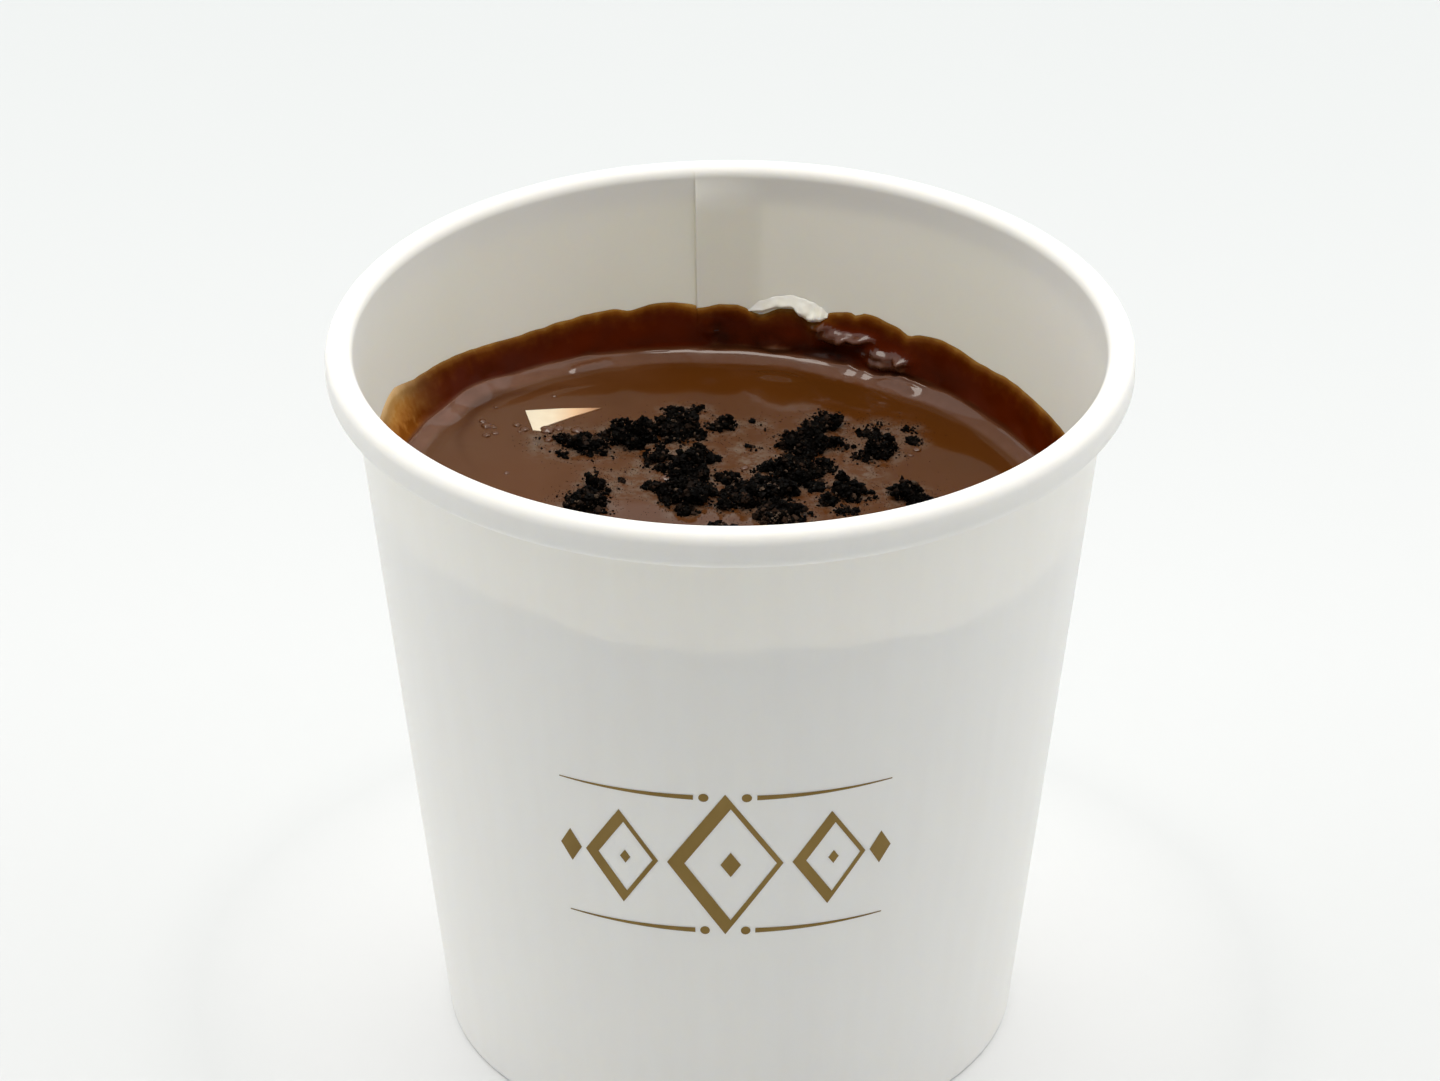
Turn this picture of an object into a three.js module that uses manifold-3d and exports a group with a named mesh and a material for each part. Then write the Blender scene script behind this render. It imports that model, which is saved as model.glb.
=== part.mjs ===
// A paper cup of chocolate pudding with dark cookie crumbs on top.
// Millimetres, +Z up, origin at the centre of the foot. The back of the cup is +Y.

import * as THREE from 'three';
import { mergeVertices } from 'three/addons/utils/BufferGeometryUtils.js';
import Module from 'manifold-3d';

const wasm = await Module();
wasm.setup();

// Cup, a squat tapered one that takes a 90 mm lid.
const cupHeight = 85.5;
const rimRadius = 45; // outside of the curled rim
const footRadius = 32.5; // outside of the wall at the foot
const paper = 0.45;
const curlWidth = 3.1;
const curlHeight = 4.6;
const curlEndTurn = 125; // degrees that the curl's free end turns in under the rim
const baseRecess = 5.5; // from the foot up to the underside of the raised bottom
const foldHeight = 4.8; // the wall's foot is folded in and up by this much
const clearance = 0.3;

// Glued overlap of the side blank, seen as a seam inside at the back.
const seamAzimuth = -5.6; // degrees from +Y towards +X
const lapAngle = 11.2;
const lapEdge = 0.2;

// Pudding, level with a slight tilt: higher at the left and at the front.
const fillDepth = 21.6; // below the rim, at the middle
const tiltX = 0.06;
const tiltY = 0.03;
const meniscusRise = 0.95;
const meniscusWidth = 3;
const coatDepth = 16.75; // below the rim, to the top edge of the film on the wall
const coatTilt = 0.05;
const coatEdge = 0.3; // the film's thickness at its top edge
const coatFoot = 1.8; // and where it meets the pudding

// Where the coat's edge dips or rises, as azimuth, rise and half width in degrees.
const edgeWaves = [
  { azimuth: -72, rise: 1.3, width: 6 },
  { azimuth: -38, rise: -1.0, width: 13 },
  { azimuth: -17, rise: -0.45, width: 1.8 },
  { azimuth: -11, rise: 0.25, width: 2.5 },
  { azimuth: -5.1, rise: -0.4, width: 1.6 },
  { azimuth: 5, rise: -1.05, width: 2.3 },
  { azimuth: 14, rise: -1.35, width: 1.7 },
  { azimuth: 23.5, rise: 1.15, width: 6 },
  { azimuth: 31.4, rise: -0.5, width: 1.5 },
  { azimuth: 38, rise: 0.85, width: 6 },
  { azimuth: 54, rise: 0.3, width: 5 },
];

// Folds and lumps where the pudding slid down the wall, as azimuth, bulge and half width.
const folds = [
  { azimuth: -61, bulge: 0.2, width: 3 },
  { azimuth: 19, bulge: 0.5, width: 4 },
  { azimuth: 28, bulge: 0.9, width: 4 },
];

// Crumb heaps: centre, width and height of each.
const crumbHeaps = [
  { x: 1.8, y: 1.9, width: 6.3, height: 2.0 },
  { x: -5.0, y: 1.1, width: 6.3, height: 2.0 },
  { x: 7.4, y: 8.3, width: 6.3, height: 2.0 },
  { x: -4.6, y: 7.1, width: 6.3, height: 2.0 },
  { x: 8.6, y: 15.9, width: 6.3, height: 1.8 },
  { x: -11.4, y: 15.5, width: 6.3, height: 2.0 },
  { x: 5.8, y: -1.7, width: 6.3, height: 1.8 },
  { x: -6.2, y: 17.5, width: 6.3, height: 2.0 },
  { x: 5.0, y: 4.3, width: 6.3, height: 1.8 },
  { x: -16.2, y: -1.5, width: 5.3, height: 1.8 },
  { x: -15.8, y: 12.5, width: 5.3, height: 1.6 },
  { x: 11.0, y: 21.1, width: 4.5, height: 1.8 },
  { x: 13.4, y: 4.7, width: 4.5, height: 1.6 },
  { x: 19.8, y: 4.7, width: 4.5, height: 1.6 },
  { x: 17.0, y: 15.5, width: 4.5, height: 1.6 },
  { x: -3.8, y: 11.1, width: 4.5, height: 1.6 },
  { x: 16.6, y: 19.6, width: 3.7, height: 1.2 },
  { x: -8.2, y: 10.4, width: 3.7, height: 1.3 },
  { x: -1.0, y: 19.6, width: 3.7, height: 1.1 },
  { x: -15.4, y: 2.6, width: 3.1, height: 1.3 },
  { x: -1.0, y: -0.2, width: 3.1, height: 1.2 },
  { x: 9.8, y: 5.8, width: 3.1, height: 1.2 },
  { x: -0.2, y: 6.2, width: 3.1, height: 1.2 },
  { x: 7.4, y: 12.6, width: 3.1, height: 1.2 },
  { x: 15.4, y: 13.4, width: 3.1, height: 1.2 },
  { x: 12.2, y: 16.6, width: 3.1, height: 1.2 },
  { x: -6.2, y: 22.3, width: 2.5, height: 1.0 },
  { x: 13.0, y: 0.3, width: 2.5, height: 1.0 },
  { x: 10.6, y: 2.3, width: 2.5, height: 1.0 },
  { x: -19.0, y: 13.9, width: 2.5, height: 1.0 },
  { x: -1.0, y: -7.0, width: 4.4, height: 1.0 },
  { x: 8.0, y: -6.6, width: 3.6, height: 1.0 },
  { x: -7.6, y: -8.6, width: 4.8, height: 1.3 },
  { x: -13.6, y: -8.2, width: 3.0, height: 1.0 },
  { x: -2.6, y: -11.0, width: 4.4, height: 1.6 },
  { x: 4.4, y: -11.2, width: 4.6, height: 1.8 },
  { x: 13.0, y: -8.6, width: 3.6, height: 1.4 },
  { x: -9.4, y: -14.6, width: 2.4, height: 0.9 },
  { x: 1.2, y: -16.4, width: 3.2, height: 1.1 },
  { x: 10.4, y: -14.6, width: 2.4, height: 0.9 },
];
const crumbsPerArea = 0.135; // crumbs to a square millimetre of heap width squared
const crumbLargest = 1.75;
const crumbSmallest = 0.9;
const crumbSeed = 7;

const cupColumns = 64;
const puddingColumns = 96;

const degrees = Math.PI / 180;
const goldenAngle = Math.PI * (3 - Math.sqrt(5));
const wallTop = cupHeight - curlWidth / 2;
const taper = (rimRadius - curlWidth + paper - footRadius) / wallTop;
const wallOuter = (z) => footRadius + taper * z;
const wallInner = (z) => wallOuter(z) - paper;

// Azimuths of the columns, counted from the seam; close pairs make the two sharp edges of the lap.
function columnAzimuths(count) {
  const lapSteps = Math.max(2, Math.round((lapAngle / 360) * count));
  const rest = count - lapSteps - 2;
  const start = lapAngle + lapEdge;
  const span = 360 - lapEdge - start;
  const lap = Array.from({ length: lapSteps + 1 }, (_, i) => (lapAngle * i) / lapSteps);
  const around = Array.from({ length: rest + 1 }, (_, i) => start + (span * i) / rest);
  return [...lap, ...around].map((angle) => angle + seamAzimuth);
}

// The blank's inner layer steps in by one thickness at the seam and runs back over the lap.
function lapShare(azimuth) {
  const angle = azimuth - seamAzimuth;
  return angle <= lapAngle ? angle / lapAngle : 1;
}

function lapIn(azimuth) {
  return paper * (1 - lapShare(azimuth));
}

function lapOut(azimuth) {
  return azimuth - seamAzimuth <= lapAngle ? paper * lapShare(azimuth) : 0;
}

// Shared vertices merged and triangles of no area dropped, so the shell is closed.
function closedShell(geometry) {
  geometry.deleteAttribute('normal');
  geometry.deleteAttribute('uv');
  const merged = mergeVertices(geometry);
  const corners = merged.index.array;
  const kept = [];
  for (let i = 0; i < corners.length; i += 3) {
    const [a, b, c] = corners.slice(i, i + 3);
    if (a !== b && b !== c && c !== a) kept.push(a, b, c);
  }
  merged.setIndex(kept);
  return merged;
}

// A turned shell whose columns stand at the given azimuths; place gives each vertex [radius, z].
function turnedShell(rows, azimuths, place) {
  const blank = Array.from({ length: rows }, (_, row) => new THREE.Vector2(1, row));
  const lathe = new THREE.LatheGeometry(blank, azimuths.length);
  const position = lathe.getAttribute('position');
  for (let i = 0; i < position.count; i += 1) {
    const azimuth = azimuths[Math.floor(i / rows) % azimuths.length];
    const [radius, z] = place(i % rows, azimuth);
    position.setXYZ(i, radius * Math.sin(azimuth * degrees), radius * Math.cos(azimuth * degrees), z);
  }
  return closedShell(lathe);
}

function arc(radius, centreR, centreZ, from, to, steps) {
  return Array.from({ length: steps + 1 }, (_, i) => {
    const angle = (from + ((to - from) * i) / steps) * degrees;
    return [centreR + radius * Math.cos(angle), centreZ + radius * Math.sin(angle), 0];
  });
}

// Side wall in one sheet: curled out at the rim, folded in and up at the foot.
// Each profile point is [radius, z, side], where side 1 moves with the outer face of the lap,
// -1 with its inner face, and 0 stays.
function sidewallProfile() {
  const outside = curlWidth / 2;
  const inside = outside - paper;
  const curlCentre = rimRadius - outside;
  const lowCentre = cupHeight - curlHeight + outside;
  const foldOuter = wallOuter(0) - paper - (paper + 2 * clearance);
  const foldAt = (z) => foldOuter + taper * z;
  return [
    [wallOuter(0), 0, 1],
    [foldAt(0) - paper, 0, -1],
    [foldAt(foldHeight) - paper, foldHeight, -1],
    [foldAt(foldHeight), foldHeight, -1],
    [foldAt(paper), paper, -1],
    [wallInner(paper), paper, -1],
    [wallInner(wallTop - outside), wallTop - outside, -1],
    ...arc(outside, curlCentre, wallTop, 180, 0, 6),
    ...arc(outside, curlCentre, lowCentre, 0, -curlEndTurn, 4),
    ...arc(inside, curlCentre, lowCentre, -curlEndTurn, 0, 4),
    ...arc(inside, curlCentre, wallTop, 0, 180, 5),
    [wallOuter(wallTop - outside), wallTop - outside, 1],
    [wallOuter(0), 0, 1],
  ];
}

// Recessed bottom: a flat disc whose edge is turned down into the fold of the foot.
function bottomProfile() {
  const edge = (z) => wallInner(z) - clearance;
  const skirtEnd = paper + clearance;
  const top = baseRecess + paper;
  return [
    [0, top, 0],
    [edge(top), top, -1],
    [edge(skirtEnd), skirtEnd, -1],
    [edge(skirtEnd) - paper, skirtEnd, -1],
    [edge(baseRecess) - paper, baseRecess, -1],
    [0, baseRecess, 0],
  ];
}

function paperShell(profile) {
  return turnedShell(profile.length, columnAzimuths(cupColumns), (row, azimuth) => {
    const [radius, z, side] = profile[row];
    const shift = side > 0 ? lapOut(azimuth) : side * lapIn(azimuth);
    return [radius + shift, z];
  });
}

function turnBetween(a, b) {
  return Math.abs(((a - b + 540) % 360) - 180);
}

function bell(azimuth, centre, width) {
  return Math.exp(-((turnBetween(azimuth, centre) / width) ** 2));
}

function levelAt(x, y) {
  return cupHeight - fillDepth - tiltX * x - tiltY * y;
}

// Height of the film's top edge on the wall, dipping and rising at the back and uneven at the front.
function coatTop(azimuth) {
  const x = (rimRadius - curlWidth) * Math.sin(azimuth * degrees);
  const front = THREE.MathUtils.smoothstep(turnBetween(azimuth, 0), 75, 100);
  const ripple = 0.4 * Math.sin(7 * azimuth * degrees) + 0.25 * Math.sin(19 * azimuth * degrees + 1);
  const waves = edgeWaves.reduce((sum, w) => sum + w.rise * bell(azimuth, w.azimuth, w.width), 0);
  return cupHeight - coatDepth - coatTilt * x + front * ripple + waves;
}

// Outline of the pudding at one azimuth, as [radius, z] from the middle of its top, down the
// meniscus, up the film on the wall and down the wall to the middle of its underside.
function puddingOutline(azimuth) {
  const floor = baseRecess + paper + clearance;
  const reach = (z) => wallInner(z) - clearance;
  const side = (z) => reach(z) - lapIn(azimuth);
  const level = (r) => levelAt(r * Math.sin(azimuth * degrees), r * Math.cos(azimuth * degrees));
  const bulge = folds.reduce((sum, f) => sum + f.bulge * bell(azimuth, f.azimuth, f.width), 0);
  const crease = reach(cupHeight - fillDepth) - coatFoot - bulge;
  const creaseZ = level(crease) + meniscusRise;
  const top = coatTop(azimuth);
  const film = top - creaseZ;

  const flat = [0, 0.34, 0.67].map((share) => (crease - meniscusWidth) * share);
  const meniscus = [1, 0.5, 0.22, 0].map((share) => [
    crease - share * meniscusWidth,
    level(crease - share * meniscusWidth) + meniscusRise * (1 - share) ** 2,
  ]);
  return [
    ...flat.map((radius) => [radius, level(radius)]),
    ...meniscus,
    [crease + 0.15 * coatFoot + 0.1 * bulge, creaseZ + 0.2 * film],
    [side(top) - coatEdge - 0.2 * coatFoot - 0.8 * bulge, creaseZ + 0.6 * film],
    [side(top) - coatEdge, top + coatEdge / 2],
    [side(top), top],
    [side(floor), floor],
    [0, floor],
  ];
}

function puddingShell() {
  const rows = puddingOutline(0).length;
  return turnedShell(rows, columnAzimuths(puddingColumns), (row, azimuth) => puddingOutline(azimuth)[row]);
}

// Repeatable random numbers from 0 to 1.
function seededRandom(seed) {
  let state = seed;
  return () => {
    state = (Math.imul(state, 1664525) + 1013904223) >>> 0;
    return state / 2 ** 32;
  };
}

function toManifold(geometry) {
  return new wasm.Manifold(new wasm.Mesh({
    numProp: 3,
    vertProperties: new Float32Array(geometry.getAttribute('position').array),
    triVerts: new Uint32Array(geometry.index.array),
  }));
}

function fromManifold(solid) {
  const mesh = solid.getMesh();
  const geometry = new THREE.BufferGeometry();
  geometry.setAttribute('position', new THREE.BufferAttribute(mesh.vertProperties, 3));
  geometry.setIndex(new THREE.BufferAttribute(mesh.triVerts, 1));
  geometry.computeVertexNormals();
  return geometry;
}

// One rough-sided crumb.
function crumbSolid(size, centre, random) {
  const crumb = closedShell(new THREE.IcosahedronGeometry(1, 0));
  const position = crumb.getAttribute('position');
  const point = new THREE.Vector3();
  for (let i = 0; i < position.count; i += 1) {
    point.fromBufferAttribute(position, i).multiplyScalar(size * (0.72 + 0.5 * random()));
    point.add(centre);
    position.setXYZ(i, point.x, point.y, point.z);
  }
  return toManifold(crumb);
}

// Each heap has its largest crumbs sunk a little in the pudding and smaller ones piled on those.
function heapSolids(heap, random) {
  const count = Math.max(2, Math.round(crumbsPerArea * heap.width ** 2));
  const firstTurn = 2 * Math.PI * random();
  const solids = [];
  const seats = [];
  for (let i = 0; i < count; i += 1) {
    const share = count > 1 ? i / (count - 1) : 0;
    const size = Math.min(heap.width / 2.6, crumbLargest + (crumbSmallest - crumbLargest) * share);
    const piled = i % 3 === 2 && heap.height > 1.2;
    const centre = new THREE.Vector3();
    if (piled) {
      const seat = seats[Math.floor(random() * seats.length)];
      centre.copy(seat.centre);
      centre.x += (random() - 0.5) * seat.size;
      centre.y += (random() - 0.5) * seat.size;
      centre.z += 0.6 * Math.min(heap.height, seat.size);
    } else {
      const turn = firstTurn + i * goldenAngle;
      const out = 0.56 * heap.width * Math.sqrt((i + 0.3 * random()) / count);
      centre.x = heap.x + out * Math.cos(turn);
      centre.y = heap.y + 0.85 * out * Math.sin(turn);
      centre.z = levelAt(centre.x, centre.y) + 0.3 * size;
      seats.push({ centre, size });
    }
    solids.push(crumbSolid(size, centre, random));
  }
  return solids;
}

function puddingWithCrumbs() {
  const random = seededRandom(crumbSeed);
  let solid = toManifold(puddingShell());
  for (const heap of crumbHeaps) {
    for (const crumb of heapSolids(heap, random)) solid = solid.add(crumb);
  }
  return fromManifold(solid);
}

function piece(name, geometry, material) {
  if (!geometry.getAttribute('normal')) geometry.computeVertexNormals();
  const mesh = new THREE.Mesh(geometry, material);
  mesh.name = name;
  return mesh;
}

const whitePaper = new THREE.MeshStandardMaterial({ color: 0xf4f2ee, roughness: 0.55, metalness: 0 });
const chocolate = new THREE.MeshStandardMaterial({ color: 0x55301a, roughness: 0.16, metalness: 0 });

const group = new THREE.Group();
group.add(piece('cup_sidewall', paperShell(sidewallProfile()), whitePaper));
group.add(piece('cup_bottom', paperShell(bottomProfile()), whitePaper));
group.add(piece('pudding', puddingWithCrumbs(), chocolate));

export default group;
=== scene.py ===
import math
import random

import bmesh
import bpy
import numpy as np
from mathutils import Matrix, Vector, noise


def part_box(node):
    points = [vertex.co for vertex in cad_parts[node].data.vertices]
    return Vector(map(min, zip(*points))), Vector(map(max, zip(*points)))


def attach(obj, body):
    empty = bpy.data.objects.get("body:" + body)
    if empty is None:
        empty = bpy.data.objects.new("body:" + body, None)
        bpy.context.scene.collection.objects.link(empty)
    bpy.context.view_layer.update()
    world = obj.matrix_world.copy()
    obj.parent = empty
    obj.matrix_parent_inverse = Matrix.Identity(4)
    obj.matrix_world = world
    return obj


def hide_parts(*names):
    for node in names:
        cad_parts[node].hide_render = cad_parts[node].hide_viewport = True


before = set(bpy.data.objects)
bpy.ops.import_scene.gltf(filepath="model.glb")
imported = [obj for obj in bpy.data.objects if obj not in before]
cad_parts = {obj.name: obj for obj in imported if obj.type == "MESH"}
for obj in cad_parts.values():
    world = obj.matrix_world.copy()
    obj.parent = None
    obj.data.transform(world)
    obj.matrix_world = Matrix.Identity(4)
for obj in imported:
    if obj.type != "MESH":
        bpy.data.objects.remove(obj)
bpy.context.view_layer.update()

# A paper cup of chocolate pudding with dark cookie crumbs on top.
# Shapes are worked out in millimetres and made metres when a piece is finished.
# Azimuths are in degrees from the back (+Y) towards the right (+X).

mm = 0.001
scene = bpy.context.scene


def bell(value, centre, width):
    return math.exp(-((value - centre) / width) ** 2)


def turnBetween(a, b):
    return abs((a - b + 540) % 360 - 180)


def turnBell(azimuth, centre, width):
    return math.exp(-(turnBetween(azimuth, centre) / width) ** 2)


def smooth(low, high, value):
    share = min(1.0, max(0.0, (value - low) / (high - low)))
    return share * share * (3 - 2 * share)


def mix(a, b, share):
    return a + (b - a) * share


def ripple(x, y, z, size):
    return noise.noise(Vector((x, y, z)) / size)


# The same round the cup, where it closes on itself.
def aroundRipple(azimuth, fineness, shift):
    turn = math.radians(azimuth)
    return ripple(fineness * math.sin(turn), fineness * math.cos(turn), shift, 1)


def azimuthAt(place):
    return math.degrees(math.atan2(place.x, place.y))


def onCircle(radius, azimuth, z):
    turn = math.radians(azimuth)
    return Vector((radius * math.sin(turn), radius * math.cos(turn), z))


def finishPiece(bm, name, materials, replaced=(), sharpAngle=35):
    bmesh.ops.scale(bm, vec=(mm, mm, mm), verts=bm.verts)
    for face in bm.faces:
        face.smooth = True
    for edge in bm.edges:
        if len(edge.link_faces) == 2:
            edge.smooth = edge.calc_face_angle(0) < math.radians(sharpAngle)
    mesh = bpy.data.meshes.new(name)
    bm.to_mesh(mesh)
    bm.free()
    placePiece(mesh, name, materials, replaced)


def placePiece(mesh, name, materials, replaced=()):
    for material in materials:
        mesh.materials.append(material)
    piece = bpy.data.objects.new(name, mesh)
    scene.collection.objects.link(piece)
    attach(piece, "root")
    if replaced:
        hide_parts(*replaced)
    print("made", name, len(mesh.polygons), "faces")


# A shell spun in even rows and columns; place then gives each vertex its radius and height, and
# azimuthOf moves the columns.
def turnedShell(rows, columns, place, openMiddle, azimuthOf=lambda azimuth: azimuth):
    bm = bmesh.new()
    ends = (0, rows - 1)
    verts = []
    for row in range(rows):
        radius = 0 if row in ends and not openMiddle else 1
        verts.append(bm.verts.new(onCircle(radius, seam["azimuth"], row)))
    edges = [bm.edges.new(pair) for pair in zip(verts, verts[1:])]
    if openMiddle:
        edges.append(bm.edges.new((verts[-1], verts[0])))
    bmesh.ops.spin(bm, geom=verts + edges, cent=(0, 0, 0), axis=(0, 0, -1), angle=2 * math.pi,
                   steps=columns, use_merge=True)
    bmesh.ops.remove_doubles(bm, verts=bm.verts, dist=1e-4)
    for vert in bm.verts:
        row = round(vert.co.z)
        azimuth = azimuthOf(azimuthAt(vert.co))
        radius, z = place(row, azimuth)
        vert.co = onCircle(radius, azimuth, z)
    bmesh.ops.recalc_face_normals(bm, faces=bm.faces)
    if bm.calc_volume(signed=True) < 0:
        bmesh.ops.reverse_faces(bm, faces=bm.faces)
    return bm


cupLow, cupHigh = (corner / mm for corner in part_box("cup_sidewall"))

cup = {
    "height": cupHigh.z,
    "rimRadius": cupHigh.x - 0.02,
    "footRadius": 32.5,
    "paper": 0.45,
    "curlWidth": 3.1,
    "curlHeight": 4.6,
    "curlEndTurn": 125,
    "curlStart": 1.2,       # the wall ends this far below the curl's widest place
    "baseRecess": 5.5,
    "foldHeight": 4.8,
    "wallStart": 6.0,       # height where the inner face rises clear of the fold
    "gap": 0.3,
    "footRound": 0.6,
    "bottomRound": 0.5,
    "rimWobble": 0.07,
    "wobbleFrom": 9.0,      # the wobble starts this far below the rim
    "wobbleFull": 3.0,
    "columns": 288,
}
seam = {
    "azimuth": -5.6,
    "lap": 11.2,
    "squeeze": 10.0,        # columns stand closer within this angle of the seam
    "edgeSoft": 0.15,       # degrees over which the cut edge steps in
    "edgeLip": 0.10,        # the cut edge of the raised layer stands up a little
    "lipFade": 0.5,
    "groove": 0.06,         # and the layer under it is pressed in beside it
    "grooveAt": -0.45,
    "grooveWide": 0.4,
    "buriedFrom": -3.5,     # under thick film the step is drawn out between these
    "buriedTo": 0.8,
}

cup["wallTop"] = cup["height"] - cup["curlWidth"] / 2
cup["taper"] = (cup["rimRadius"] - cup["curlWidth"] + cup["paper"] - cup["footRadius"]) / cup["wallTop"]


def wallOuter(z):
    return cup["footRadius"] + cup["taper"] * z


def wallInner(z):
    return wallOuter(z) - cup["paper"]


def fromSeam(azimuth):
    return (azimuth - seam["azimuth"] + 540) % 360 - 180


# Columns crowd towards the seam so that its step is sharp.
def seamSpread(azimuth):
    away = fromSeam(azimuth)
    if abs(away) < seam["squeeze"]:
        away *= abs(away) / seam["squeeze"]
    return seam["azimuth"] + away


# How far the inner layer steps in over the glued lap.
def lapIn(azimuth):
    away = fromSeam(azimuth)
    step = smooth(-seam["edgeSoft"], 0.0, away)
    runBack = max(0.0, 1 - max(0.0, away) / seam["lap"])
    lip = seam["edgeLip"] * math.exp(-max(0.0, away) / seam["lipFade"])
    lip -= seam["groove"] * bell(away, seam["grooveAt"], seam["grooveWide"])
    return step * (cup["paper"] * runBack + lip) if away >= 0 else lip * (1 - step)


# The same step, softened by the thick film over it.
def lapBuried(azimuth):
    away = fromSeam(azimuth)
    step = smooth(seam["buriedFrom"], seam["buriedTo"], away)
    return cup["paper"] * step * (1 - min(1.0, max(0.0, away) / seam["lap"]))


def lapOut(azimuth):
    away = fromSeam(azimuth)
    if away < 0 or away > seam["lap"]:
        return 0.0
    return cup["paper"] * min(away / seam["lap"], (seam["lap"] - away) / seam["edgeSoft"])


def arcPoints(radius, centreR, centreZ, start, end, steps, side=0):
    points = []
    for i in range(steps + 1):
        angle = math.radians(mix(start, end, i / steps))
        points.append((centreR + radius * math.cos(angle), centreZ + radius * math.sin(angle), side))
    return points


def wallRun(radiusAt, low, high, steps, side):
    heights = [mix(low, high, i / steps) for i in range(steps + 1)]
    return [(radiusAt(z), z, side) for z in heights]


# Profile points are (radius, height, side): side 1 moves with the outer face of the lap, -1 with the
# inner face, 0 stays.
def sidewallProfile():
    outside = cup["curlWidth"] / 2
    inside = outside - cup["paper"]
    curlCentre = cup["rimRadius"] - outside
    lowCentre = cup["height"] - cup["curlHeight"] + outside
    bend = cup["footRound"]
    foldInner = wallInner(0) - cup["paper"] - 2 * cup["gap"] - cup["paper"]
    curlStart = cup["wallTop"] - cup["curlStart"]

    def foldAt(z):
        return foldInner + cup["taper"] * z

    return [
        *arcPoints(bend, wallOuter(0) - bend + 0.05, bend, 0, -90, 5),
        *arcPoints(bend, foldInner + bend, bend, -90, -180, 5),
        (foldAt(cup["foldHeight"]), cup["foldHeight"], 0),
        (foldAt(cup["foldHeight"]) + cup["paper"], cup["foldHeight"], 0),
        (foldAt(cup["paper"]) + cup["paper"], cup["paper"], 0),
        (wallInner(cup["paper"]), cup["paper"], 0),
        *wallRun(wallInner, cup["wallStart"], curlStart, 26, -1),
        *arcPoints(outside, curlCentre, cup["wallTop"], 180, 0, 20),
        *arcPoints(outside, curlCentre, lowCentre, 0, -cup["curlEndTurn"], 14),
        *arcPoints(inside, curlCentre, lowCentre, -cup["curlEndTurn"], 0, 8),
        *arcPoints(inside, curlCentre, cup["wallTop"], 0, 180, 10),
        *wallRun(wallOuter, curlStart, 2 * bend, 40, 1),
    ]


def bottomProfile():
    top = cup["baseRecess"] + cup["paper"]
    under = cup["baseRecess"]
    skirtEnd = cup["paper"] + cup["gap"]
    bend = cup["bottomRound"]
    underBend = bend + 0.2

    def edge(z):
        return wallInner(z) - cup["gap"]

    return [
        (0, top, 0),
        (edge(top) * 0.5, top, 0),
        *arcPoints(bend, edge(top) - bend, top - bend, 90, 0, 4),
        (edge(skirtEnd), skirtEnd, 0),
        (edge(skirtEnd) - cup["paper"], skirtEnd, 0),
        *arcPoints(underBend, edge(under) - cup["paper"] - underBend, under - underBend, 0, 90, 4),
        (edge(under) * 0.5, under, 0),
        (0, under, 0),
    ]


# The rim of a paper cup is never quite even.
def rimWobble(azimuth):
    return cup["rimWobble"] * aroundRipple(azimuth, 2.2, 3)


def makeSidewall(material):
    profile = sidewallProfile()

    def place(row, azimuth):
        radius, z, side = profile[row]
        if side > 0:
            radius += lapOut(azimuth)
        elif side < 0:
            radius -= lapIn(azimuth)
        nearRim = smooth(cup["height"] - cup["wobbleFrom"], cup["height"] - cup["wobbleFull"], z)
        wobble = nearRim * (rimWobble(azimuth) - cup["rimWobble"] * 0.6)
        return radius + wobble, z + 0.5 * wobble

    bm = turnedShell(len(profile), cup["columns"], place, True, seamSpread)
    inner = bm.verts.layers.float.new("inner")
    seamAway = bm.verts.layers.float.new("seamAway")    # degrees from the edge of the lap
    for vert in bm.verts:
        reach = math.hypot(vert.co.x, vert.co.y) - wallInner(vert.co.z)
        vert[inner] = smooth(0.3, -0.05, reach) * smooth(0, 3, vert.co.z - cup["wallStart"])
        vert[seamAway] = max(-3.0, min(3.0, fromSeam(azimuthAt(vert.co))))
    finishPiece(bm, "cupSidewall", [material], ["cup_sidewall"])


def makeBottom(material):
    profile = bottomProfile()
    bm = turnedShell(len(profile), cup["columns"] // 2, lambda row, azimuth: profile[row][:2], False)
    bm.verts.layers.float.new("inner")
    bm.verts.layers.float.new("seamAway")
    finishPiece(bm, "cupBottom", [material], ["cup_bottom"])


puddingLayers = (
    "film",     # millimetres below the film's top edge
    "thin",     # 1 where the film is a see-through smear
    "pool",     # 1 on the still surface
    "ring",     # painted highlight: how much lighter the pool's edge is painted
    "trough",   # painted reflection: 1 in the darker line inside the ring, where the dark film is reflected
    "shade",    # how near to black the film is painted, partly painted shade under its lumps
    "dust",     # 1 under the crumbs, less beside them
)


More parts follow.
